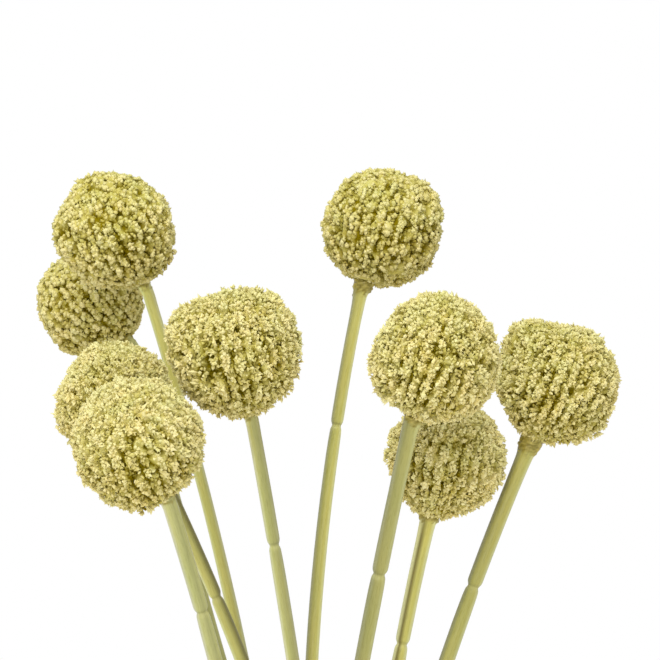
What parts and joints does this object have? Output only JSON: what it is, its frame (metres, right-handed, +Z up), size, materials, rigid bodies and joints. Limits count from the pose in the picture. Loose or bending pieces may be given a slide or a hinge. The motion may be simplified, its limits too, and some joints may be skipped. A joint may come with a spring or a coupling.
{
  "type": "dried billy buttons in a vase",
  "caption": "Ball-shaped dried flower heads on bare stems, standing loosely in a plain round-bellied ceramic vase.",
  "frame": {"origin": "centre of the vase's foot, on the surface that it stands on", "axes": "+Z up, +X to the viewer's right and +Y away from the viewer, with the bouquet's open front towards -Y"},
  "size_m": [0.136, 0.1059, 0.2449],
  "materials": {
    "vase_glaze": "satin",
    "stem": "satin",
    "florets": "matte"
  },
  "bodies": {
    "root": {"vase": "vase_glaze", "stem_1": "stem", "stem_2": "stem", "stem_3": "stem", "stem_4": "stem", "stem_5": "stem", "stem_6": "stem", "stem_7": "stem", "stem_8": "stem", "stem_9": "stem", "head_1": "florets", "head_2": "florets", "head_3": "florets", "head_4": "florets", "head_5": "florets", "head_6": "florets", "head_7": "florets", "head_8": "florets", "head_9": "florets"}
  },
  "joints": []
}
